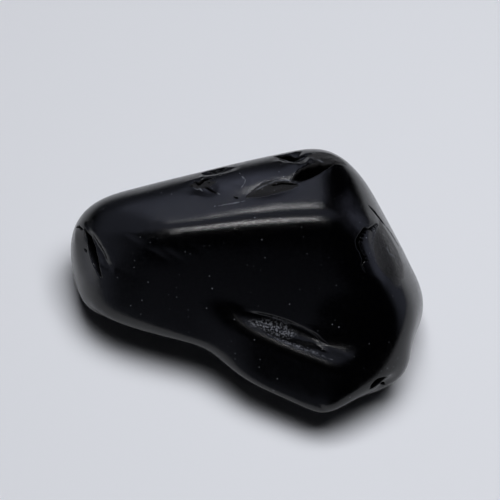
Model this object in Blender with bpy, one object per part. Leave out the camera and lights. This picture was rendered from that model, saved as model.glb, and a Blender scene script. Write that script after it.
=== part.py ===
"""A tumbled jet pebble: one wedge-shaped stone with a sloping plateau, a long ridge, a broad front
face and a lobe like a big toe along the front foot. Tumbling rounded its broken faces and left the
chips, cracks and pits that were too deep to polish.

Frame: +Z up, +X towards the thick end, -Y out of the front face. The origin is the middle of the
stone's box, on the surface that it rests on. The shape is worked out in millimetres and written in
metres.
"""

import math

import bmesh
import bpy
import numpy as np
from mathutils import Vector

MM = 0.001

# The stone is measured outwards from this point inside it, in the frame of the coordinates below,
# which make_pebble shifts to the stone's own origin
HEART = np.array([3.0, -4.0, 6.5])
FARTHEST = 40.0
HALVINGS = 30

# The broken faces that tumbling rounded: name, azimuth and elevation of the way that the face looks,
# in degrees (azimuth 0 is +X and 90 is +Y), a point on the face, and how far its edges are rounded
FACES = (
    ("plateau_low", 170, 75, (-6.0, 6.0, 17.2), 8.0),
    ("plateau_high", 90, 84, (7.0, 5.0, 22.3), 4.0),
    ("ridge_band", 224, 71, (6.3, -0.1, 20.2), 0.5),
    ("front_band", 252, 43, (7.1, -0.8, 20.2), 1.3),
    ("front", 255, 33, (0.0, -7.9, 9.7), 2.6),
    ("right", 358, 37, (16.4, -5.9, 16.2), 4.0),
    ("front_left", 214, 36, (-16.3, -1.4, 12.0), 4.0),
    ("left_end", 188, -4, (-22.0, 2.0, 7.0), 5.0),
    ("back", 98, 10, (-5.0, 14.8, 9.0), 7.0),
    ("back_right", 28, 12, (17.2, 6.9, 12.0), 5.5),
    ("right_foot", 5, -4, (22.3, 1.0, 6.6), 3.0),
    ("front_right_foot", 328, -14, (19.6, -6.6, 5.8), 3.0),
    ("front_foot", 284, -10, (8.0, -15.6, 5.0), 4.0),
    ("front_left_foot", 252, -40, (-8.9, -6.9, 5.7), 0.8),
)
# The faces of the lobe, and how softly it runs into the stone
LOBE_FACES = (
    ("lobe_top", 60, 80, (4.2, -11.5, 10.2), 1.0),
    ("lobe_front", 244, 43, (5.0, -10.7, 10.2), 1.2),
    ("lobe_end", 318, 26, (15.0, -14.0, 7.0), 3.0),
    ("lobe_foot", 239, -45, (6.4, -16.3, 4.5), 0.8),
    ("lobe_end_foot", 305, -32, (13.6, -14.0, 4.4), 1.2),
    ("lobe_back", 60, 0, (8.0, -4.0, 4.0), 2.0),
    ("lobe_root", 205, 10, (-5.5, -7.2, 6.0), 4.0),
)
LOBE_JOINING = 1.5

# The heel fills the corner between the lobe and the right face: a rod with round ends
HEEL_START = (12.5, -6.5, 7.0)
HEEL_START_RADIUS = 5.0
HEEL_END = (14.0, -8.6, 6.4)
HEEL_END_RADIUS = 4.3
HEEL_JOINING = 3.0

# The underside curves in to the flat that the stone rests on
UNDERSIDE_DROP = 1.5
UNDERSIDE_ROUNDING = 7.0
FLAT_ROUNDING = 0.3

# Hollows that a chip, a crack or a pit left: name, a point near it, azimuth and elevation of the way
# that the surface looks there, the turn of its long side from level in degrees (counter-clockwise
# seen from outside), its length, width and depth
HOLLOWS = (
    ("left_crack", (-19.2, 2.3, 11.6), 210, 39, -6, 8.4, 1.5, 0.8),
    ("left_chip", (-20.4, 2.8, 9.9), 204, 28, -8, 8.6, 4.2, 0.4),
    ("lens_pit", (7.6, 7.7, 20.3), 159, 79, 141, 5.4, 1.9, 0.8),
    ("top_notch", (5.0, 10.8, 19.2), 124, 66, 111, 4.6, 1.6, 0.7),
    ("curved_ledge", (2.9, 5.1, 19.4), 166, 77, 108, 6.8, 2.2, 0.25),
    ("pit_cluster", (-5.6, 7.6, 17.2), 160, 74, 66, 4.6, 2.2, 0.35),
    ("top_edge_crack", (-4.0, 10.8, 16.8), 123, 58, 139, 4.6, 1.4, 0.4),
    ("right_chip", (15.4, -2.0, 17.1), 340, 45, 23, 8.4, 4.6, 0.45),
    ("shelf", (4.3, -9.1, 10.4), 256, 66, -10, 9.6, 2.0, 0.35),
    ("corner_chip", (15.2, -13.3, 5.2), 302, 0, 50, 3.6, 2.4, 0.6),
    ("back_scoop", (8.0, 14.6, 11.0), 96, 24, 20, 8.0, 5.0, 0.6),
    ("back_crack", (-11.0, 13.8, 8.5), 104, 18, -35, 6.0, 1.7, 0.5),
    ("right_pit", (20.0, 3.0, 8.0), 14, 8, 70, 3.6, 2.2, 0.5),
)
HOLLOW_ROUNDING = 0.25
# Hollows up to this width get the finest mesh
NARROW = 2.1

# The sharp ridges: name, both ends of the ridge and the reach round it
RIDGES = (
    ("plateau_ridge", (-12.0, 1.0, 16.5), (9.0, 0.6, 20.3), 2.6),
    ("lobe_crest", (-1.0, -8.0, 10.6), (11.0, -13.4, 9.7), 1.8),
)

# The mesh: cuts along each edge of the cube that is blown up to the stone, and how far round a
# hollow its squares are halved, and halved again
CUTS = 18
COARSE_MARGIN = 0.7
FINE_MARGIN = 0.55

JET_COLOUR = (0.004, 0.004, 0.005, 1.0)
JET_ROUGHNESS = 0.28
JET_IOR = 1.66


def outward(azimuth, elevation):
    """The unit vector that looks to an azimuth and an elevation, both in degrees."""
    a = math.radians(azimuth)
    e = math.radians(elevation)
    return np.array([math.cos(a) * math.cos(e), math.sin(a) * math.cos(e), math.sin(e)])


def round_cut(a, b, rounding):
    """The part that is inside both a and b, with the edge between them rounded."""
    near = np.maximum(rounding - np.abs(a - b), 0) / rounding
    return np.maximum(a, b) + near * near * rounding / 4


def round_join(a, b, rounding):
    """The part that is inside a or b, with the valley between them rounded."""
    return -round_cut(-a, -b, rounding)


def cut_by(p, faces):
    """Below zero on the inner side of all the faces."""
    body = np.full(len(p), -np.inf)
    for _, azimuth, elevation, point, rounding in faces:
        body = round_cut(body, (p - np.array(point)) @ outward(azimuth, elevation), rounding)
    return body


def rod(p, start, start_radius, end, end_radius):
    """Distance from a rod with round ends whose radius changes along it."""
    start = np.array(start)
    run = np.array(end) - start
    t = np.clip((p - start) @ run / (run @ run), 0, 1)
    radius = start_radius + (end_radius - start_radius) * t
    return np.linalg.norm(p - start - t[:, None] * run, axis=1) - radius


def whole(p):
    """Below zero inside the stone as it was before it was chipped."""
    body = round_join(cut_by(p, FACES), cut_by(p, LOBE_FACES), LOBE_JOINING)
    heel = rod(p, HEEL_START, HEEL_START_RADIUS, HEEL_END, HEEL_END_RADIUS)
    body = round_join(body, heel, HEEL_JOINING)
    body = round_cut(body, -p[:, 2] - UNDERSIDE_DROP, UNDERSIDE_ROUNDING)
    return round_cut(body, -p[:, 2], FLAT_ROUNDING)


def surface(directions, form):
    """The points where rays from the heart, in the given directions, leave the form."""
    low = np.zeros(len(directions))
    high = np.full(len(directions), FARTHEST)
    for _ in range(HALVINGS):
        middle = (low + high) / 2
        inside = form(HEART + middle[:, None] * directions) < 0
        low = np.where(inside, middle, low)
        high = np.where(inside, high, middle)
    return HEART + low[:, None] * directions


def hollow_spans(p, hollow):
    """Where points lie in a hollow, in half lengths, half widths and depths from its middle."""
    _, point, azimuth, elevation, turn, length, width, depth = hollow
    towards = np.array(point) - HEART
    middle = surface((towards / np.linalg.norm(towards))[None], whole)[0]
    normal = outward(azimuth, elevation)
    level = outward(azimuth + 90, 0)
    rising = np.cross(normal, level)
    t = math.radians(turn)
    along = math.cos(t) * level + math.sin(t) * rising
    across = np.cross(normal, along)
    q = p - middle
    return np.stack([q @ along / (length / 2), q @ across / (width / 2), q @ normal / depth], axis=1)


def stone(p):
    """Below zero inside the finished stone, above zero outside, at points in millimetres."""
    body = whole(p)
    for hollow in HOLLOWS:
        depth = hollow[-1]
        scooped = (np.linalg.norm(hollow_spans(p, hollow), axis=1) - 1) * depth
        body = round_cut(body, -scooped, HOLLOW_ROUNDING)
    return body


def near_hollow(p, margin, widest):
    """Whether points lie within a margin of a hollow that is no wider than a given width."""
    near = np.zeros(len(p), bool)
    for hollow in HOLLOWS:
        length, width, depth = hollow[-3:]
        spans = hollow_spans(p, hollow)
        reach = np.array([1 + 2 * margin / length, 1 + 2 * margin / width, 1 + 2 * margin / depth])
        near |= (width <= widest) & (np.linalg.norm(spans / reach, axis=1) < 1)
    return near


def near_ridge(p):
    """Whether points lie within the reach of a ridge."""
    near = np.zeros(len(p), bool)
    for _, start, end, reach in RIDGES:
        near |= rod(p, start, reach, end, reach) < 0
    return near


def halve_squares(bm, wanted):
    """Halves the squares of the ball that will lie where they are wanted small."""
    directions = np.array([edge.verts[0].co + edge.verts[1].co for edge in bm.edges])
    directions /= np.linalg.norm(directions, axis=1)[:, None]
    small = wanted(surface(directions, whole))
    edges = [edge for edge, is_small in zip(bm.edges, small) if is_small]
    bmesh.ops.subdivide_edges(bm, edges=edges, cuts=1, use_grid_fill=True)
    for vertex in bm.verts:
        vertex.co.normalize()


def ball():
    """A cube whose faces are cut into squares and blown up to a ball, finer where detail lies."""
    bm = bmesh.new()
    bmesh.ops.create_cube(bm, size=2)
    bmesh.ops.subdivide_edges(bm, edges=bm.edges, cuts=CUTS, use_grid_fill=True)
    for vertex in bm.verts:
        vertex.co = Vector([math.tan(c * math.pi / 4) for c in vertex.co]).normalized()
    halve_squares(bm, lambda p: near_ridge(p) | near_hollow(p, COARSE_MARGIN, math.inf))
    halve_squares(bm, lambda p: near_hollow(p, FINE_MARGIN, NARROW))
    return bm


def jet():
    material = bpy.data.materials.new("polished_jet")
    material.use_nodes = True
    shader = material.node_tree.nodes["Principled BSDF"]
    shader.inputs["Base Color"].default_value = JET_COLOUR
    shader.inputs["Metallic"].default_value = 0.0
    shader.inputs["Roughness"].default_value = JET_ROUGHNESS
    shader.inputs["IOR"].default_value = JET_IOR
    return material


def make_pebble():
    bm = ball()
    directions = np.array([vertex.co for vertex in bm.verts])
    points = surface(directions, stone)
    low = points.min(axis=0)
    high = points.max(axis=0)
    origin = np.array([(low[0] + high[0]) / 2, (low[1] + high[1]) / 2, low[2]])
    for vertex, point in zip(bm.verts, (points - origin) * MM):
        vertex.co = point
    mesh = bpy.data.meshes.new("pebble")
    bm.to_mesh(mesh)
    bm.free()
    mesh.shade_smooth()
    mesh.materials.append(jet())
    return bpy.data.objects.new("pebble", mesh)


def main():
    for old in list(bpy.data.objects):
        bpy.data.objects.remove(old)
    collection = bpy.data.collections.new("jet_pebble")
    bpy.context.scene.collection.children.link(collection)
    collection.objects.link(make_pebble())


if __name__ == "__main__":
    main()
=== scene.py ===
# %% [markdown]
# # A tumbled pebble of jet
# Jet is fossil wood, black all through and light for a stone. Tumbling with grit rounds its broken
# faces and then polishes them, but chips, cracks and pits that lie too deep stay matt. So this model
# has one piece, the stone, and its looks come from three things: a smooth form that reflections can
# run along, sharp small damage cut into it, and a finish that tells polish from break.
# %% Load the frame
import math

import bpy
import numpy as np
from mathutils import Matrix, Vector


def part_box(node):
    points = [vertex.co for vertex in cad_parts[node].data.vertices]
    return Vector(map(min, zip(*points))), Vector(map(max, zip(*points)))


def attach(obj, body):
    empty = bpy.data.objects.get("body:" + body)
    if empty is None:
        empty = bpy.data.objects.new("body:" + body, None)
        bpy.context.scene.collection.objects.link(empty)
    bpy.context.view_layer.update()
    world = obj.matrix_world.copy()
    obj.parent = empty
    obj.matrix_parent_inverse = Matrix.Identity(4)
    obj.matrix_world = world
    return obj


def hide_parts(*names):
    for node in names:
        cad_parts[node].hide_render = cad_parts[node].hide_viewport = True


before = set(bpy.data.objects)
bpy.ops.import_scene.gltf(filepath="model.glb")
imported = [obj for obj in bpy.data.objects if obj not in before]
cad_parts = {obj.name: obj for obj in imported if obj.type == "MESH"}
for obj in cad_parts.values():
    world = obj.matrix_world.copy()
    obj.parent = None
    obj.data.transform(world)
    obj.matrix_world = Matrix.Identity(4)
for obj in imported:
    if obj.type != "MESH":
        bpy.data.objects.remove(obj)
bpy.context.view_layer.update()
MM = 0.001
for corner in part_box("pebble"):
    print("corner of the stone in mm:", [round(v / MM, 1) for v in corner])

# %% [markdown]
# ## Colours and nodes
# Colours are picked as sRGB hex values, as an eye dropper gives them, but Blender's sockets hold
# linear light. One function turns the one into the other, so every colour in the file can be read as
# a hex value. A second function adds a node. It links an input that is given another node's output,
# and sets an input that is given a value, so each node takes one call.
# %% Helpers for colours and nodes


def linear(hex_colour):
    """Turns an sRGB hex colour into linear light, with the numbers of the sRGB standard."""
    channels = [int(hex_colour[i:i + 2], 16) / 255 for i in (1, 3, 5)]
    return [c / 12.92 if c <= 0.04045 else ((c + 0.055) / 1.055) ** 2.4 for c in channels] + [1.0]


def add_node(tree, kind, inputs=None, **settings):
    """Adds a node; inputs maps each socket to a value, or to the output that is linked to it."""
    node = tree.nodes.new(kind)
    for name, setting in settings.items():
        setattr(node, name, setting)
    for socket, value in (inputs or {}).items():
        if isinstance(value, bpy.types.NodeSocket):
            tree.links.new(value, node.inputs[socket])
        else:
            node.inputs[socket].default_value = value
    return node


def new_material(name):
    """Makes a material with nodes, and gives it back with its tree and its shader."""
    material = bpy.data.materials.new(name)
    material.use_nodes = True
    return material, material.node_tree, material.node_tree.nodes["Principled BSDF"]


print("middle grey in linear light:", round(linear("#808080")[0], 3))

# %% [markdown]
# ## Camera
# The stone is small and was photographed from about 50 degrees above the table, from so far away
# that its lines hardly converge. A camera 300 mm away with a long lens does the same. The lens is
# worked out from how many metres the picture spans at the point that the camera looks at. That point
# lies behind the stone's middle, which puts the stone a little below the middle of the picture.
# %% Camera
VIEW_ELEVATION = math.radians(50)
VIEW_DISTANCE = 0.30
VIEW_SPAN = 0.0635
VIEW_CENTRE = Vector((0.65, 11.94, 0.0)) * MM
SENSOR = 36.0
NEAREST_SEEN = 0.01

backwards = Vector((0, -math.cos(VIEW_ELEVATION), math.sin(VIEW_ELEVATION)))
camera_data = bpy.data.cameras.new("camera")
camera_data.sensor_width = SENSOR
camera_data.lens = SENSOR * VIEW_DISTANCE / VIEW_SPAN
camera_data.clip_start = NEAREST_SEEN
camera = bpy.data.objects.new("camera", camera_data)
bpy.context.scene.collection.objects.link(camera)
camera.location = VIEW_CENTRE + backwards * VIEW_DISTANCE
camera.rotation_euler = (math.radians(90) - VIEW_ELEVATION, 0, 0)
bpy.context.scene.camera = camera
print("lens", round(camera_data.lens), "mm")

# %% [markdown]
# ## Floor
# The stone lies on a sheet of smooth pale card. It isn't part of the object, so it is only staged, and
# a plain plane large enough to have no edge in the picture will do. The card is white with a touch of
# blue. It is rough, so it takes the stone's soft shadow but no mirror image of it.
# %% Floor
CARD_SIZE = 1.2
CARD_COLOUR = "#e6e8ee"
CARD_ROUGHNESS = 0.75

bpy.ops.object.select_all(action="DESELECT")
bpy.ops.mesh.primitive_plane_add(size=CARD_SIZE)
floor = bpy.context.object
floor.name = "floor"
card, _, card_shader = new_material("smooth_pale_card")
card_shader.inputs["Base Color"].default_value = linear(CARD_COLOUR)
card_shader.inputs["Roughness"].default_value = CARD_ROUGHNESS
floor.data.materials.append(card)
print("card", CARD_SIZE, "m wide")

# %% [markdown]
# ## The room that the stone mirrors
# A polished black stone shows almost nothing but reflections, so the light is built for what it
# mirrors. The room is dark over the camera, and soft and bright behind the stone and beside it. It
# could be modelled with walls and windows, but a few round glows in the world do the same. Each is
# brightest in one direction and fades smoothly around it. Diffuse rays don't see the world, so the
# glows draw the stone's polish and leave the card alone.
# %% Room glow
# name, azimuth, elevation, where the fade starts and where it ends, all in degrees, and brightness
GLOWS = (
    ("behind", 112, 34, 4, 17, 0.62),
    ("behind_low", 112, 20, 10, 28, 0.12),
    ("behind_left", 146, 38, 8, 28, 0.34),
    ("left_window", 184, 6, 12, 38, 0.30),
    ("right_window", 8, 22, 10, 40, 0.46),
    ("front_card", 236, 4, 19, 25, 0.16),
    ("overhead", 150, 70, 8, 28, 0.40),
)
ROOM_COLOUR = "#dde4ff"
ROOM_BASE = 0.002

room = bpy.data.worlds.new("room")
room.use_nodes = True
room.cycles_visibility.diffuse = False
bpy.context.scene.world = room
room_tree = room.node_tree
towards = add_node(room_tree, "ShaderNodeTexCoord").outputs["Generated"]
brightness_sum = ROOM_BASE
for _, azimuth, elevation, fade_start, fade_end, brightness in GLOWS:
    around, up = math.radians(azimuth), math.radians(elevation)
    axis = (math.cos(around) * math.cos(up), math.sin(around) * math.cos(up), math.sin(up))
    nearness = add_node(room_tree, "ShaderNodeVectorMath", {0: towards, 1: axis}, operation="DOT_PRODUCT")
    glow = add_node(room_tree, "ShaderNodeMapRange",
                    {"Value": nearness.outputs["Value"],
                     "From Min": math.cos(math.radians(fade_end)),
                     "From Max": math.cos(math.radians(fade_start)),
                     "To Min": 0.0, "To Max": brightness}, interpolation_type="SMOOTHSTEP")
    total = add_node(room_tree, "ShaderNodeMath", {0: glow.outputs["Result"], 1: brightness_sum},
                     operation="ADD")
    brightness_sum = total.outputs["Value"]
background = room_tree.nodes["Background"]
background.inputs["Color"].default_value = linear(ROOM_COLOUR)
room_tree.links.new(brightness_sum, background.inputs["Strength"])
print("room glows:", len(GLOWS))

# %% [markdown]
# ## Two tubes and a panel
# The two bright streaks along the ridge are the mirror images of two long tubes, and a tube's width
# and place set the streak's. The card needs even light instead, from one large soft panel overhead.
# So that each can be matched by itself, the tubes are seen by mirror reflections only, and the panel
# by matt surfaces only.
# %% Tubes and panel
STONE_MIDDLE = Vector((0, 0, 10)) * MM


def add_light(name, place, size, power, mirrored=True):
    """Adds a rectangular light that faces the stone; place and size in mm, its long side along X."""
    light_data = bpy.data.lights.new(name, "AREA")
    light_data.shape = "RECTANGLE"
    light_data.size, light_data.size_y = size[0] * MM, size[1] * MM
    light_data.energy = power
    light = bpy.data.objects.new(name, light_data)
    bpy.context.scene.collection.objects.link(light)
    light.location = Vector(place) * MM
    light.rotation_euler = (STONE_MIDDLE - light.location).to_track_quat("-Z", "Y").to_euler()
    light.visible_glossy = mirrored
    light.visible_diffuse = not mirrored
    print(name, "gives", power, "W")


add_light("tube_high", (-225, -60, 440), (80, 8), 0.17)
add_light("tube_back", (-155, 290, 380), (110, 8), 0.11)
add_light("panel", (70, 10, 430), (300, 300), 2.0, mirrored=False)

# %% [markdown]
# ## The stone
# The solid from the frame has the whole shape, but in small flat faces that a polished finish would
# show, so a copy of it gets a rounder surface. The solid's triangles are loose, so the copy is merged
# first. Then its triangles are paired to four-sided faces, which Subdivision Surface rounds with
# fewer dents.
# %% Copy the stone and pair its triangles
MERGE_DISTANCE = 0.001 * MM
PAIR_BEND = math.radians(40)
PAIR_SKEW = math.radians(50)

stone_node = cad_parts["pebble"]
bpy.ops.object.select_all(action="DESELECT")
stone_node.select_set(True)
bpy.context.view_layer.objects.active = stone_node
bpy.ops.object.duplicate()
stone = bpy.context.object
stone.name = "polished_stone"
bpy.ops.object.mode_set(mode="EDIT")
bpy.ops.mesh.select_all(action="SELECT")
bpy.ops.mesh.remove_doubles(threshold=MERGE_DISTANCE)
bpy.ops.mesh.tris_convert_to_quads(face_threshold=PAIR_BEND, shape_threshold=PAIR_SKEW)
bpy.ops.object.mode_set(mode="OBJECT")
print("faces of the copy:", len(stone.data.polygons))

# %% [markdown]
# ## Rounded facets
# Tumbling leaves no edge between two facets. Subdivision Surface does the same: each level cuts every
# face in four and draws the new corners onto a smooth surface. It is applied here, because the marks
# are carved into its result.
# %% Round the facets
ROUNDING_LEVELS = 2

rounding = stone.modifiers.new("rounding", "SUBSURF")
rounding.levels = ROUNDING_LEVELS
rounding.render_levels = ROUNDING_LEVELS
bpy.ops.object.modifier_apply(modifier="rounding")
bpy.ops.object.shade_smooth()
print("faces after rounding:", len(stone.data.polygons))

# %% [markdown]
# ## Where the damage lies
# Tumbling can't reach into a crack, so every crack and pit keeps its broken edges. An eye knows a
# crack by its path, so each mark is given as a line of points on the stone, in mm, with its greatest
# width and depth. It could be painted as a texture, but a real dent catches the light from every
# side. A mark's kind says what it looks like: a cleft swallows the light, a pale line is a scratch,
# and on three edges a painted highlight, a break is the matt, shell-like face of a chip, a stippled
# patch is fine pale points, which along the crest are a painted highlight, and a painted sheen is
# grey reflection painted onto the polish. The marks follow place by place. To find most of the
# points, pixels were picked in the photograph and cast from the camera onto the solid by another
# program, which rounded them to a tenth of a millimetre.
# %% Marks on the left end
# name, kind, greatest width, depth, points
MARKS = [
    ("left crack", "cleft", 1.15, 0.75,
     ((-19.4, 5.8, 11.2), (-18.8, 4.5, 10.9), (-18.4, 3.5, 10.5), (-18.2, 2.4, 10.2), (-17.8, 1.1, 10.0),
      (-17.3, -0.4, 9.6))),
    ("left hook", "cleft", 0.32, 0.24, ((-20.7, 7.6, 9.4), (-20.2, 6.9, 10.4), (-19.6, 5.9, 11.0))),
    ("left nick", "cleft", 0.40, 0.21, ((-19.4, 4.1, 9.6), (-19.0, 3.4, 9.8))),
]
print("marks on the left end:", len(MARKS))

# %% Marks around the apex: the lens-shaped pit, the notch and the chip between them
MARKS += [
    ("lens pit", "cleft", 1.25, 0.50,
     ((5.8, 6.3, 19.8), (7.2, 7.2, 20.0), (8.6, 7.8, 20.0), (10.7, 8.6, 20.2))),
    ("lens floor", "break", 2.20, 0.0,
     ((5.6, 6.2, 19.8), (7.2, 7.2, 20.0), (8.6, 7.8, 20.0), (10.9, 8.7, 20.2))),
    ("top notch", "cleft", 0.80, 0.45,
     ((3.4, 12.0, 18.0), (4.6, 11.6, 18.1), (5.9, 10.8, 18.5), (7.4, 10.7, 19.3))),
    # a highlight painted on the edge of the ledge beside the notch, as a pale line
    ("notch ledge", "scratch_and_edge_highlight", 0.22, 0.0, ((4.5, 11.2, 18.0), (5.9, 10.1, 18.4))),
    ("apex crack", "scratch_and_edge_highlight", 0.18, 0.05, ((7.6, 10.7, 19.4), (8.4, 9.5, 19.9), (9.5, 8.9, 20.1))),
    ("apex chip", "break", 3.20, 0.05, ((7.7, 10.6, 19.4), (9.7, 9.9, 19.9), (12.1, 9.2, 19.4))),
]
print("marks with the apex:", len(MARKS))

# %% Marks on the plateau: the curved ledge, a hair line and faint traces
MARKS += [
    # a highlight painted on the edge of the curved ledge, as a pale line; the dark foot below it is carved
    ("curved ledge", "scratch_and_edge_highlight", 0.22, 0.0,
     ((0.4, 5.0, 18.6), (2.1, 5.9, 19.0), (3.6, 6.5, 19.3), (4.8, 6.4, 19.6), (5.9, 6.1, 19.8),
      (7.0, 5.8, 20.0))),
    ("ledge foot", "cleft", 0.36, 0.18, ((3.0, 5.9, 19.1), (4.4, 6.0, 19.5), (6.4, 5.5, 19.8))),
    ("ledge dip", "break", 2.60, 0.0, ((0.4, 4.6, 18.6), (3.4, 5.6, 19.2), (6.2, 5.2, 19.7))),
    ("hair", "scratch_and_edge_highlight", 0.20, 0.0,
     ((-0.6, 8.9, 18.0), (-0.3, 8.1, 18.3), (0.1, 7.4, 18.5), (-0.0, 6.8, 18.5), (-0.4, 6.2, 18.5))),
    ("faint line", "scratch_and_edge_highlight", 0.08, 0.0, ((-4.1, 3.8, 17.6), (-1.3, 3.8, 18.4), (0.6, 3.9, 18.8))),
    ("small pits", "cleft", 0.22, 0.12, ((-1.3, 4.9, 18.3), (-0.8, 4.5, 18.4))),
]
print("marks with the plateau:", len(MARKS))

# %% Marks on the back edge: a cluster of pits and two cracks
MARKS += [
    ("pit row", "cleft", 0.50, 0.24,
     ((-6.1, 9.1, 16.4), (-5.5, 8.4, 16.5), (-4.8, 9.0, 16.8), (-3.6, 8.9, 17.2))),
    ("pit crack", "cleft", 0.36, 0.21, ((-4.8, 7.8, 16.8), (-4.0, 6.9, 17.1), (-3.2, 5.9, 17.6))),
    ("pit break", "break", 1.60, 0.0, ((-6.5, 8.4, 16.3), (-5.0, 8.2, 16.8), (-3.6, 8.0, 17.2))),
    ("first small pit", "cleft", 0.34, 0.18, ((-6.5, 8.3, 16.2), (-6.2, 8.1, 16.3))),
    ("second small pit", "cleft", 0.30, 0.18, ((-5.3, 9.4, 16.5), (-5.0, 9.6, 16.5))),
    ("third small pit", "cleft", 0.30, 0.15, ((-4.4, 8.3, 16.9), (-4.1, 8.2, 17.0))),
    ("fourth small pit", "cleft", 0.26, 0.15, ((-3.0, 9.4, 17.2), (-2.8, 9.2, 17.3))),
    ("worm", "scratch_and_edge_highlight", 0.24, 0.0,
     ((-6.2, 7.9, 16.5), (-5.7, 7.4, 16.6), (-5.4, 7.6, 16.7), (-5.0, 6.9, 16.8))),
    ("pit crack end", "scratch_and_edge_highlight", 0.20, 0.0, ((-3.5, 6.3, 17.4), (-2.8, 5.6, 17.7))),
    ("top crack", "cleft", 0.34, 0.21, ((-4.6, 11.2, 15.8), (-3.3, 11.2, 16.1), (-1.8, 11.1, 16.6))),
    ("second top crack", "cleft", 0.26, 0.15, ((-4.0, 10.8, 16.0), (-2.2, 10.8, 16.5))),
]
print("marks with the back edge:", len(MARKS))

# %% Marks on the right face: the large chip, its serrated step and a curl
RIGHT_STEP = ((15.6, 0.9, 18.1), (14.7, -0.6, 18.8), (13.9, -0.9, 19.0),
              (13.4, -1.9, 19.2), (13.1, -2.6, 18.7), (13.5, -3.4, 18.0),
              (13.9, -4.1, 17.4), (13.7, -4.6, 17.0), (14.2, -5.4, 16.3))

MARKS += [
    ("right notch", "cleft", 0.60, 0.45, ((14.8, 3.1, 18.6), (15.8, 2.8, 17.3), (16.8, 2.7, 15.8))),
    ("right line", "cleft", 0.26, 0.21,
     ((16.8, 2.7, 15.6), (17.6, 2.7, 14.0), (18.2, 2.3, 13.0), (18.9, 1.8, 11.8))),
    ("right step", "cleft", 0.42, 0.24, RIGHT_STEP),
    ("right chip", "break", 6.60, 0.0, ((15.9, 1.8, 16.6), (16.9, -1.4, 15.6), (17.2, -5.0, 14.0))),
    ("right curl", "scratch_and_edge_highlight", 0.20, 0.0,
     ((16.9, -0.4, 16.1), (16.6, -1.2, 16.2), (17.2, -1.9, 15.8), (18.0, -1.5, 14.6), (18.7, -2.1, 13.7))),
]
print("marks with the right face:", len(MARKS))

# %% Marks on the lobe: the stippled shelf, its crest and the chipped corner
MARKS += [
    ("shelf stipple", "stipple_and_crest_highlight", 2.20, 0.0,
     ((0.2, -7.6, 10.0), (1.8, -8.0, 10.1), (3.6, -8.6, 10.2), (6.2, -9.6, 10.3))),
    # a highlight painted along the crest of the lobe, as a dotted pale line
    ("crest", "stipple_and_crest_highlight", 0.70, 0.0,
     ((2.2, -9.0, 10.0), (4.6, -10.3, 9.9), (6.5, -11.2, 9.8), (8.3, -12.0, 9.8), (10.4, -13.0, 9.6))),
    ("corner chip", "cleft", 0.90, 0.52, ((14.7, -14.9, 6.6), (15.5, -14.4, 7.1), (16.7, -13.6, 7.1))),
    ("corner speck", "cleft", 0.40, 0.30, ((16.1, -13.2, 5.6), (16.6, -13.0, 5.0))),
    # a highlight painted on the lower edge of the corner, as a pale line
    ("corner edge", "scratch_and_edge_highlight", 0.20, 0.0, ((14.4, -15.3, 5.8), (15.6, -14.7, 6.0), (16.7, -13.9, 6.0))),
]
print("marks with the lobe:", len(MARKS))

# %% Painted sheen: grey reflections painted on the ridge, the right face, the left end and the plateau
MARKS += [
    ("ridge bloom", "painted_sheen", 4.6, 0.0, ((12.2, 4.2, 20.2), (12.4, 1.0, 20.2), (13.0, -2.2, 19.2))),
    ("right bloom", "painted_sheen", 5.0, 0.0, ((15.0, 0.6, 17.9), (15.4, -2.4, 17.3), (16.2, -6.0, 15.2))),
    ("left bloom", "painted_sheen", 4.6, 0.0, ((-19.2, 4.4, 9.0), (-18.8, 2.0, 8.6), (-17.4, -1.0, 8.0))),
    ("plateau bloom", "painted_sheen", 6.0, 0.0, ((-6.0, 6.4, 17.2), (0.0, 7.4, 18.4), (7.0, 4.6, 20.0))),
]
print("marks in the list:", len(MARKS))

# %% [markdown]
# ## Teeth of the serrated step
# The edge beside the right chip broke away in small steps and looks like a saw. Its teeth are all
# much alike, so they aren't placed one by one: a loop walks along the step and lets a short cleft run
# off it, down the face, every half millimetre.
# %% Teeth
TOOTH = np.array((0.42, 0.0, -0.30))
TOOTH_SPACING = 0.5
TOOTH_WIDTH = 0.26
TOOTH_DEPTH = 0.16

step_path = np.array(RIGHT_STEP)
for start, end in zip(step_path[:-1], step_path[1:]):
    for t in np.arange(0, 1, TOOTH_SPACING / np.linalg.norm(end - start)):
        root = start + t * (end - start)
        MARKS.append(("tooth", "cleft", TOOTH_WIDTH, TOOTH_DEPTH, (tuple(root), tuple(root + TOOTH))))
print("marks:", len(MARKS))

# %% [markdown]
# ## Finer faces where the marks lie
# A crack a third of a millimetre wide needs faces smaller than that. Cutting the whole stone so
# finely would waste most of them, so only faces beside a mark are cut again, as far as they need it.
# For that, and for carving later, one function measures how far a point lies from a mark's path.
# %% Measure to the marks
OTHER_SIDE = 1.5


def vertex_array(mesh, name):
    """Reads a vertex property of three numbers as an array with a row for each vertex."""
    values = np.empty(len(mesh.vertices) * 3)
    mesh.vertices.foreach_get(name, values)
    return values.reshape(-1, 3)


def measure(points, normals, path):
    """How far points lie from a path, sideways along the surface and in mm, and how far along it.

    A point more than OTHER_SIDE above or below the path isn't on the same side of the stone.
    """
    path = np.array(path)
    runs = path[1:] - path[:-1]
    lengths = np.linalg.norm(runs, axis=1)
    started = np.concatenate([[0], np.cumsum(lengths)])
    nearest = np.full(len(points), np.inf)
    along = np.zeros(len(points))
    for start, run, length, before in zip(path[:-1], runs, lengths, started):
        t = np.clip((points - start) @ run / length ** 2, 0, 1)
        away = points - start - t[:, None] * run
        height = np.sum(away * normals, axis=1)
        sideways = np.linalg.norm(away - height[:, None] * normals, axis=1)
        sideways[np.abs(height) > OTHER_SIDE] = np.inf
        closer = sideways < nearest
        nearest = np.where(closer, sideways, nearest)
        along = np.where(closer, before + t * length, along)
    return nearest, along / started[-1]


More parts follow.
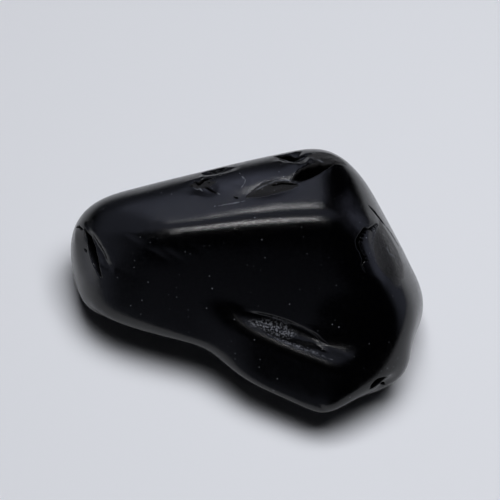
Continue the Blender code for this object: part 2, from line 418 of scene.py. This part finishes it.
left_crack = MARKS[0][4]
stone_points = vertex_array(stone.data, "co") / MM
crack_distance, _ = measure(stone_points, vertex_array(stone.data, "normal"), left_crack)
print("vertices within 1 mm of the left crack:", int(np.sum(crack_distance < 1)))

# %% [markdown]
# ## Choose and cut the faces
# A narrow mark needs fine faces all over. A break is wide and nearly even, so only its rim does, and the
# painted sheen is only colour that fades slowly, so it needs none. The faces are chosen by place and size,
# and the subdivide operator halves their edges, round after round, until they are small enough.
# %% Cut the faces beside the marks
MARK_MARGIN = 0.45
FINE_FACE = 0.11
FINE_ROUNDS = 3


def select_coarse_faces():
    """Selects the faces that lie beside a mark and are still larger than a fine face."""
    mesh = stone.data
    count = len(mesh.polygons)
    centres, normals, areas = np.empty(count * 3), np.empty(count * 3), np.empty(count)
    mesh.polygons.foreach_get("center", centres)
    mesh.polygons.foreach_get("normal", normals)
    mesh.polygons.foreach_get("area", areas)
    centres = centres.reshape(-1, 3) / MM
    normals = normals.reshape(-1, 3)
    beside = np.zeros(count, bool)
    for _, kind, width, _, path in MARKS:
        distance, _ = measure(centres, normals, path)
        reach = distance - width / 2
        if kind != "painted_sheen":
            beside |= (reach < MARK_MARGIN) & ((kind != "break") | (reach > -MARK_MARGIN))
    coarse = beside & (np.sqrt(areas) / MM > FINE_FACE)
    mesh.polygons.foreach_set("select", coarse)
    return int(np.sum(coarse))


for _ in range(FINE_ROUNDS):
    bpy.ops.object.mode_set(mode="EDIT")
    bpy.ops.mesh.select_all(action="DESELECT")
    bpy.ops.mesh.select_mode(type="FACE")
    bpy.ops.object.mode_set(mode="OBJECT")
    chosen = select_coarse_faces()
    bpy.ops.object.mode_set(mode="EDIT")
    bpy.ops.mesh.subdivide(number_cuts=1, smoothness=1.0)
    bpy.ops.object.mode_set(mode="OBJECT")
    print("cut", chosen, "faces, now", len(stone.data.polygons))

# %% [markdown]
# ## Carve
# Each vertex near a mark moves inwards. A mark is widest in its middle and thins out to both ends, and
# its sides wander a little, because a crack follows the grain of the wood. Carving could be done by
# hand in sculpt mode, but a formula keeps each depth exact. How strongly a vertex belongs to a kind of
# mark is kept as a mask, from 0 to 1, and the finish reads it later.
# %% How strongly each vertex belongs to a mark
from mathutils import noise

WANDER = 0.10
WANDER_SCALE = 1.6
# the ends of a mark keep the width that it has at this share of its length
BLUNT_END = 0.03
# the share of its half width over which a mark's side fades out
SOFTNESS = {"cleft": 0.55, "scratch_and_edge_highlight": 0.55, "break": 0.3, "painted_sheen": 1.0, "stipple_and_crest_highlight": 0.7}

mesh = stone.data
points = vertex_array(mesh, "co") / MM
normals = vertex_array(mesh, "normal")
masks = {kind: np.zeros(len(points)) for kind in SOFTNESS}
inwards = np.zeros(len(points))
for _, kind, width, depth, path in MARKS:
    distance, along = measure(points, normals, path)
    near = np.flatnonzero(distance < width)
    wander = np.array([noise.noise(Vector(points[i]) * WANDER_SCALE) for i in near])
    taper = np.sin(math.pi * np.clip(along[near], BLUNT_END, 1 - BLUNT_END))
    half_width = width / 2 * np.sqrt(np.clip(taper, 0, 1))
    inside = half_width - distance[near] + WANDER * wander
    inside = np.clip(inside / (SOFTNESS[kind] * width / 2), 0, 1)
    # this curve eases in and out, so a mark's rim and floor have no sharp bend
    inside = inside * inside * (3 - 2 * inside)
    masks[kind][near] = np.maximum(masks[kind][near], inside)
    inwards[near] = np.maximum(inwards[near], depth * inside)
print("vertices in each kind of mark:", {kind: int(np.sum(mask > 0)) for kind, mask in masks.items()})

# %% [markdown]
# ## Uneven breaks
# Jet breaks like glass, in shells, but tumbling wears a break to a coarse, uneven face. A fractal
# noise has lumps of several sizes at once, as such a face does, so it adds to the depth there.
# %% Uneven breaks
BREAK_ROUGHNESS = 0.030
BREAK_GRAIN = 2.6
GRAIN_SMOOTHNESS = 0.6
SIZE_STEP = 2.0
SIZES = 3
FAINTEST_BREAK = 0.02

rough = np.flatnonzero(masks["break"] > FAINTEST_BREAK)
for i in rough:
    lump = noise.fractal(Vector(points[i]) * BREAK_GRAIN, GRAIN_SMOOTHNESS, SIZE_STEP, SIZES)
    inwards[i] += masks["break"][i] * BREAK_ROUGHNESS * (1 + lump)
print("vertices on breaks:", len(rough))

# %% Move the vertices and keep the masks
points -= inwards[:, None] * normals
mesh.vertices.foreach_set("co", (points * MM).ravel())
for kind, values in masks.items():
    mesh.attributes.new(kind, "FLOAT", "POINT").data.foreach_set("value", values)
mesh.update()
print("carved vertices:", int(np.sum(inwards > 0)), "of", len(points))

# %% [markdown]
# ## Finish
# Jet polishes to a soft, waxy black mirror. It is fossil wood, so its black is a very dark brown, and
# its index of refraction is high for something organic, 1.66, which gives it bright reflections. The
# polish isn't flat: tumbling leaves faint dimples, which break reflections into a fine mottle. Broken
# faces are matt and a little brown. Dust settles on the polish as tiny pale specks. All of it comes
# from a few noises, each with lumps of a real size, and from the masks of the marks.
# %% Polished jet: masks and noises
# nearly all the values of a noise lie between these two
NOISE_LOW = 0.3
NOISE_HIGH = 0.7
# name, size of its lumps in mm, detail, roughness
NOISES = (
    ("mottle", 0.45, 3, 0.6),
    ("grain", 0.22, 4, 0.7),
    ("dimples", 0.16, 3, 0.7),
    ("dots_and_crest_highlight", 0.22, 2, 0.6),
    ("painted_sheen", 1.2, 4, 0.7),
    ("dust", 6.0, 2, 0.6),
)

jet, jet_tree, jet_shader = new_material("polished_jet")
place = add_node(jet_tree, "ShaderNodeTexCoord").outputs["Object"]
marked = {}
for kind in masks:
    marked[kind] = add_node(jet_tree, "ShaderNodeAttribute", attribute_name=kind).outputs["Fac"]
lumps = {}
for name, size, detail, roughness in NOISES:
    settings = {"Vector": place, "Scale": 1 / (size * MM), "Detail": detail, "Roughness": roughness}
    lumps[name] = add_node(jet_tree, "ShaderNodeTexNoise", settings).outputs["Fac"]
print("masks:", list(marked), "noises:", list(lumps))

# %% [markdown]
# ## Dust
# A Voronoi texture has one point in each of its cells, and Distance says how far that point is. Where
# it is less than a speck's radius, there is a speck. The radius changes slowly over the stone, so that
# dust gathers in places.
# %% Dust specks
SPECK_SPACING = 0.95
SPECK_RADIUS = 0.065
SMALLEST_SPECK = 0.4 * SPECK_RADIUS / SPECK_SPACING
LARGEST_SPECK = 1.6 * SPECK_RADIUS / SPECK_SPACING
# the values of the slow noise where specks are smallest and largest
LEAST_DUST = 0.35
MOST_DUST = 0.75

cells = add_node(jet_tree, "ShaderNodeTexVoronoi", {"Vector": place, "Scale": 1 / (SPECK_SPACING * MM)})
speck_radius = add_node(jet_tree, "ShaderNodeMapRange",
                        {"Value": lumps["dust"], "From Min": LEAST_DUST, "From Max": MOST_DUST,
                         "To Min": SMALLEST_SPECK, "To Max": LARGEST_SPECK})
speck = add_node(jet_tree, "ShaderNodeMath",
                 {0: cells.outputs["Distance"], 1: speck_radius.outputs["Result"]}, operation="LESS_THAN")
speck_radii = [round(share * SPECK_SPACING, 3) for share in (SMALLEST_SPECK, LARGEST_SPECK)]
print("radii of the specks in mm:", speck_radii)

# %% [markdown]
# ## Broken-up masks
# A stippled patch is many small pale points, and so is the highlight painted along the crest, and the
# painted sheen is patchy. Both get their mask from the marks and are then broken up by a noise: the
# points by one that is cut off sharply, the painted sheen by a soft one that never quite reaches nothing.
# %% Points and painted sheen
# name, the mark's mask, the noise, the noise's values where the pattern starts and is full, its least
BROKEN_UP = (
    # the pale points of the stippled shelf, and the highlight painted along the crest
    ("dots_and_crest_highlight", "stipple_and_crest_highlight", "dots_and_crest_highlight", 0.46, 0.62, 0.0),
    # the painted sheen, broken up by a soft noise
    ("painted_sheen_patches", "painted_sheen", "painted_sheen", NOISE_LOW, NOISE_HIGH, 0.3),
)

pattern = {}
for name, kind, noise_name, starts, full, least in BROKEN_UP:
    strength = add_node(jet_tree, "ShaderNodeMapRange",
                        {"Value": lumps[noise_name], "From Min": starts, "From Max": full,
                         "To Min": least, "To Max": 1.0})
    product = add_node(jet_tree, "ShaderNodeMath", {0: marked[kind], 1: strength.outputs["Result"]},
                       operation="MULTIPLY")
    pattern[name] = product.outputs["Value"]
print("patterns:", list(pattern))

# %% [markdown]
# ## Colour
# The colours lie over each other like thin coats: the black of the polish, the painted sheen that
# stands for grey reflections on it, the brownish breaks, the pale stippled points with the highlight
# painted along the crest, the scratches with the highlights painted on three edges, and the dust, and
# last the clefts, painted black as shade because no light comes back out of them.
# %% Colour
JET_BLACK = "#030304"
# where the coat lies, how well it covers, its colour
COATS = (
    # painted sheen: grey reflections painted onto the polish
    (pattern["painted_sheen_patches"], 1.0, "#2c2d35"),
    (marked["break"], 1.0, "#1c1b1a"),
    # pale points: real on the shelf, a painted highlight along the crest
    (pattern["dots_and_crest_highlight"], 1.0, "#6a6c72"),
    # pale lines: scratches, and highlights painted on three edges
    (marked["scratch_and_edge_highlight"], 0.85, "#6c6f76"),
    (speck.outputs["Value"], 0.8, "#8a8d94"),
    (marked["cleft"], 1.0, "#010101"),
)

colour = linear(JET_BLACK)
for where, cover, coat_colour in COATS:
    amount = add_node(jet_tree, "ShaderNodeMath", {0: where, 1: cover}, operation="MULTIPLY")
    # a colour mix has its two colours in sockets 6 and 7 and gives the result in socket 2
    coat = add_node(jet_tree, "ShaderNodeMix",
                    {"Factor": amount.outputs["Value"], 6: colour, 7: linear(coat_colour)}, data_type="RGBA")
    colour = coat.outputs[2]
jet_tree.links.new(colour, jet_shader.inputs["Base Color"])
print("coats of colour:", len(COATS))

# %% [markdown]
# ## Gloss
# A roughness near 0.18 is the waxy gloss of jet, and the mottle makes it a little sharper here and
# softer there. Damage adds to it, so that a break is matt and a cleft gives back no highlight. Inside
# a cleft even a rough surface would shine grey, so its specular level falls as well.
# %% Gloss
POLISH_ROUGHNESS = 0.18
SHARPER = 0.05
SOFTER = 0.08
ADDED_ROUGHNESS = {"break": 0.22, "cleft": 0.7, "scratch_and_edge_highlight": 0.25}
JET_IOR = 1.66
POLISH_SPECULAR = 0.5
CLEFT_SPECULAR = 0.04
FULLY_IN_A_CLEFT = 0.6

mottled = add_node(jet_tree, "ShaderNodeMapRange",
                   {"Value": lumps["mottle"], "From Min": NOISE_LOW, "From Max": NOISE_HIGH,
                    "To Min": POLISH_ROUGHNESS - SHARPER, "To Max": POLISH_ROUGHNESS + SOFTER})
gloss = mottled.outputs["Result"]
for kind, added in ADDED_ROUGHNESS.items():
    gloss = add_node(jet_tree, "ShaderNodeMath", {0: marked[kind], 1: added, 2: gloss},
                     operation="MULTIPLY_ADD").outputs["Value"]
jet_tree.links.new(gloss, jet_shader.inputs["Roughness"])
jet_shader.inputs["IOR"].default_value = JET_IOR
specular = add_node(jet_tree, "ShaderNodeMapRange",
                    {"Value": marked["cleft"], "From Min": 0.0, "From Max": FULLY_IN_A_CLEFT,
                     "To Min": POLISH_SPECULAR, "To Max": CLEFT_SPECULAR})
jet_tree.links.new(specular.outputs["Result"], jet_shader.inputs["Specular IOR Level"])
print("roughness of the polish:", POLISH_ROUGHNESS - SHARPER, "to", POLISH_ROUGHNESS + SOFTER)

# %% [markdown]
# ## Relief
# What is finer than the mesh is left to bump. A break has the whole height of the grain, and the
# polish only a trace of it, with the dimples on top. A stronger bump would scatter the streaks along
# the ridge until they are wide and dull.
# %% Relief
RELIEF_HEIGHT = 0.09 * MM
POLISHED_GRAIN = 0.07
DIMPLE_SHARE = 0.09

grain_share = add_node(jet_tree, "ShaderNodeMath", {0: marked["break"], 1: POLISHED_GRAIN}, operation="ADD")
grain_relief = add_node(jet_tree, "ShaderNodeMath", {0: lumps["grain"], 1: grain_share.outputs["Value"]},
                        operation="MULTIPLY")
relief = add_node(jet_tree, "ShaderNodeMath",
                  {0: lumps["dimples"], 1: DIMPLE_SHARE, 2: grain_relief.outputs["Value"]},
                  operation="MULTIPLY_ADD")
bump = add_node(jet_tree, "ShaderNodeBump",
                {"Height": relief.outputs["Value"], "Strength": 1.0, "Distance": RELIEF_HEIGHT})
jet_tree.links.new(bump.outputs["Normal"], jet_shader.inputs["Normal"])
stone.data.materials.clear()
stone.data.materials.append(jet)
print("nodes in the finish:", len(jet_tree.nodes))

# %% [markdown]
# ## Contrast
# The Standard view keeps black as black, which a filmic view would lift. The photograph has more
# contrast than a plain render, and a gamma a little below 1 darkens the tones between black and white
# in the same way.
# %% View
VIEW_GAMMA = 0.85

bpy.context.scene.view_settings.view_transform = "Standard"
bpy.context.scene.view_settings.gamma = VIEW_GAMMA
print("view gamma", VIEW_GAMMA)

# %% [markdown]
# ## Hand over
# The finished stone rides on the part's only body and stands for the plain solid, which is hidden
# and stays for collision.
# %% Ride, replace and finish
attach(stone, "root")
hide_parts("pebble")
